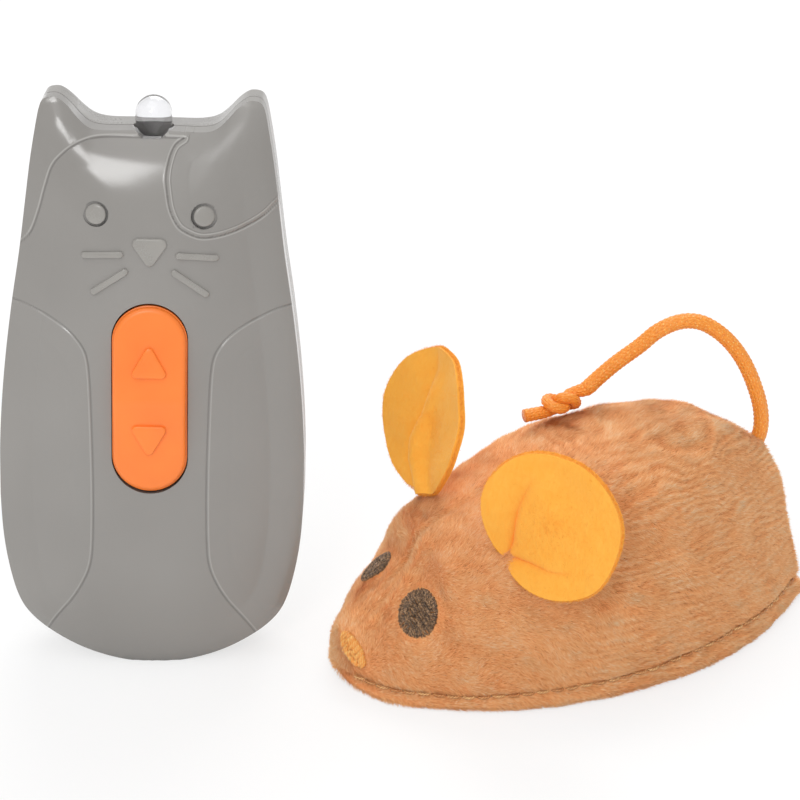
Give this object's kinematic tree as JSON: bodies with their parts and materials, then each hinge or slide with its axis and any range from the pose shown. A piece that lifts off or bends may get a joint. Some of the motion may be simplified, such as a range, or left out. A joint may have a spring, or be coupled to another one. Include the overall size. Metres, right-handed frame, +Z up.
{
  "type": "electronic cat toy",
  "caption": "Remote-controlled cat toy: plush mouse with felt ears and cord tail on a motor-driven wheeled chassis, and a cat-shaped infrared handset with a rocker button.",
  "frame": {"origin": "middle of the set's footprint, at the floor both units stand on", "axes": "+X from the mouse's nose to its tail; +Z up; the mouse's near side, the side seen in the picture, faces -Y; the handset stands at the -X end with its face towards -Y and -X"},
  "size_m": [0.143, 0.0854, 0.1036],
  "materials": {
    "black_abs": "black moulded ABS",
    "black_rubber": "soft black rubber",
    "bright_steel": "nickel-plated steel",
    "brown_thread": "satin-stitch thread, dark brown",
    "cell_jacket": "printed cell jacket, plain dark",
    "clear_epoxy": "clear water-white epoxy",
    "gold_thread": "satin-stitch thread, gold-orange",
    "green_board": "green solder mask",
    "grey_abs": "satin moulded ABS, warm mid grey",
    "grey_rubber": "grey silicone rubber",
    "orange_abs": "satin moulded ABS, orange",
    "orange_cord": "round braided satin cord, orange",
    "orange_felt": "pressed felt, yellow-orange",
    "tan_plush": "short-pile tan plush over soft wadding",
    "white_acetal": "natural white acetal",
    "zinc_screw": "zinc-plated steel"
  },
  "bodies": {
    "mouse": {"button_cell_1": "bright_steel", "button_cell_2": "bright_steel", "button_cell_3": "bright_steel", "chassis_lid": "black_abs", "chassis_screw_front_far": "zinc_screw", "chassis_screw_front_near": "zinc_screw", "chassis_screw_rear_far": "zinc_screw", "chassis_screw_rear_near": "zinc_screw", "chassis_tray": "black_abs", "compound_gear_pin": "bright_steel", "drive_motor": "bright_steel", "ear_far": "orange_felt", "ear_near": "orange_felt", "eye_far": "brown_thread", "eye_near": "brown_thread", "ir_receiver": "black_abs", "mouse_circuit_board": "green_board", "mouse_contact_minus": "bright_steel", "mouse_contact_plus": "bright_steel", "mouse_contact_spring": "bright_steel", "nose_patch": "gold_thread", "plush_body": "tan_plush", "power_switch_body": "black_abs", "tail_cord": "orange_cord", "tail_knot": "orange_cord"},
    "handset_case": {"back_shell": "grey_abs", "case_screw_high_left": "zinc_screw", "case_screw_high_right": "zinc_screw", "case_screw_low_left": "zinc_screw", "case_screw_low_right": "zinc_screw", "front_shell": "grey_abs", "handset_cell_left": "cell_jacket", "handset_cell_right": "cell_jacket", "handset_circuit_board": "green_board", "handset_contact_bridge": "bright_steel", "handset_contact_minus": "bright_steel", "handset_contact_plus": "bright_steel", "handset_spring_high": "bright_steel", "handset_spring_low": "bright_steel", "ir_led": "clear_epoxy", "rubber_keypad": "grey_rubber"},
    "rocker": {"rocker_button": "orange_abs"},
    "handset_door": {"handset_battery_door": "grey_abs", "handset_door_screw": "zinc_screw"},
    "mouse_door": {"mouse_battery_door": "black_abs", "mouse_door_screw": "zinc_screw"},
    "drive_axle": {"rear_axle": "bright_steel", "axle_gear": "white_acetal", "wheel_near": "white_acetal", "wheel_far": "white_acetal", "tyre_near": "black_rubber", "tyre_far": "black_rubber"},
    "compound": {"compound_gear": "white_acetal"},
    "motor_rotor": {"motor_pinion": "white_acetal"},
    "caster_yoke": {"caster_fork": "white_acetal", "caster_pin": "bright_steel"},
    "caster_roller": {"caster_wheel": "black_abs"},
    "power_knob": {"power_switch_knob": "white_acetal"}
  },
  "joints": [
    {"name": "handset_lift", "type": "slide", "parent": "mouse", "child": "handset_case", "axis": [0, 0, 1], "range_m": [0, 0.12]},
    {"name": "rocker_tilt", "type": "hinge", "parent": "handset_case", "child": "rocker", "pos_m": [-0.04618, 0.01365, 0.05184], "axis": [0.9236, -0.3826, -0.0224], "range_deg": [-4, 4], "stiffness_Nm_per_rad": 0.12},
    {"name": "handset_door_lift", "type": "slide", "parent": "handset_case", "child": "handset_door", "axis": [0.3748, 0.9138, -0.1564], "range_m": [0, 0.03]},
    {"name": "drive_axle_spin", "type": "hinge", "parent": "mouse", "child": "drive_axle", "pos_m": [0.04105, -0.00835, 0.0085], "axis": [0, 1, 0], "continuous": true},
    {"name": "compound_gear_spin", "type": "hinge", "parent": "mouse", "child": "compound", "pos_m": [0.03498, -0.00835, 0.01307], "axis": [0, 1, 0], "continuous": true},
    {"name": "motor_spin", "type": "hinge", "parent": "mouse", "child": "motor_rotor", "pos_m": [0.02705, -0.00835, 0.012], "axis": [0, 1, 0], "continuous": true},
    {"name": "caster_swivel", "type": "hinge", "parent": "mouse", "child": "caster_yoke", "pos_m": [-0.00895, -0.00835, 0], "axis": [0, 0, 1], "continuous": true},
    {"name": "caster_wheel_spin", "type": "hinge", "parent": "caster_yoke", "child": "caster_roller", "pos_m": [-0.00715, -0.00835, 0.0024], "axis": [0, 1, 0], "continuous": true},
    {"name": "mouse_door_drop", "type": "slide", "parent": "mouse", "child": "mouse_door", "axis": [0, 0, -1], "range_m": [0, 0.02]},
    {"name": "power_switch_slide", "type": "slide", "parent": "mouse", "child": "power_knob", "axis": [1, 0, 0], "range_m": [0, 0.003]}
  ],
  "couplings": [
    {"joint": "compound_gear_spin", "follows": "drive_axle_spin", "ratio": -2.8},
    {"joint": "motor_spin", "follows": "drive_axle_spin", "ratio": 8.4}
  ]
}
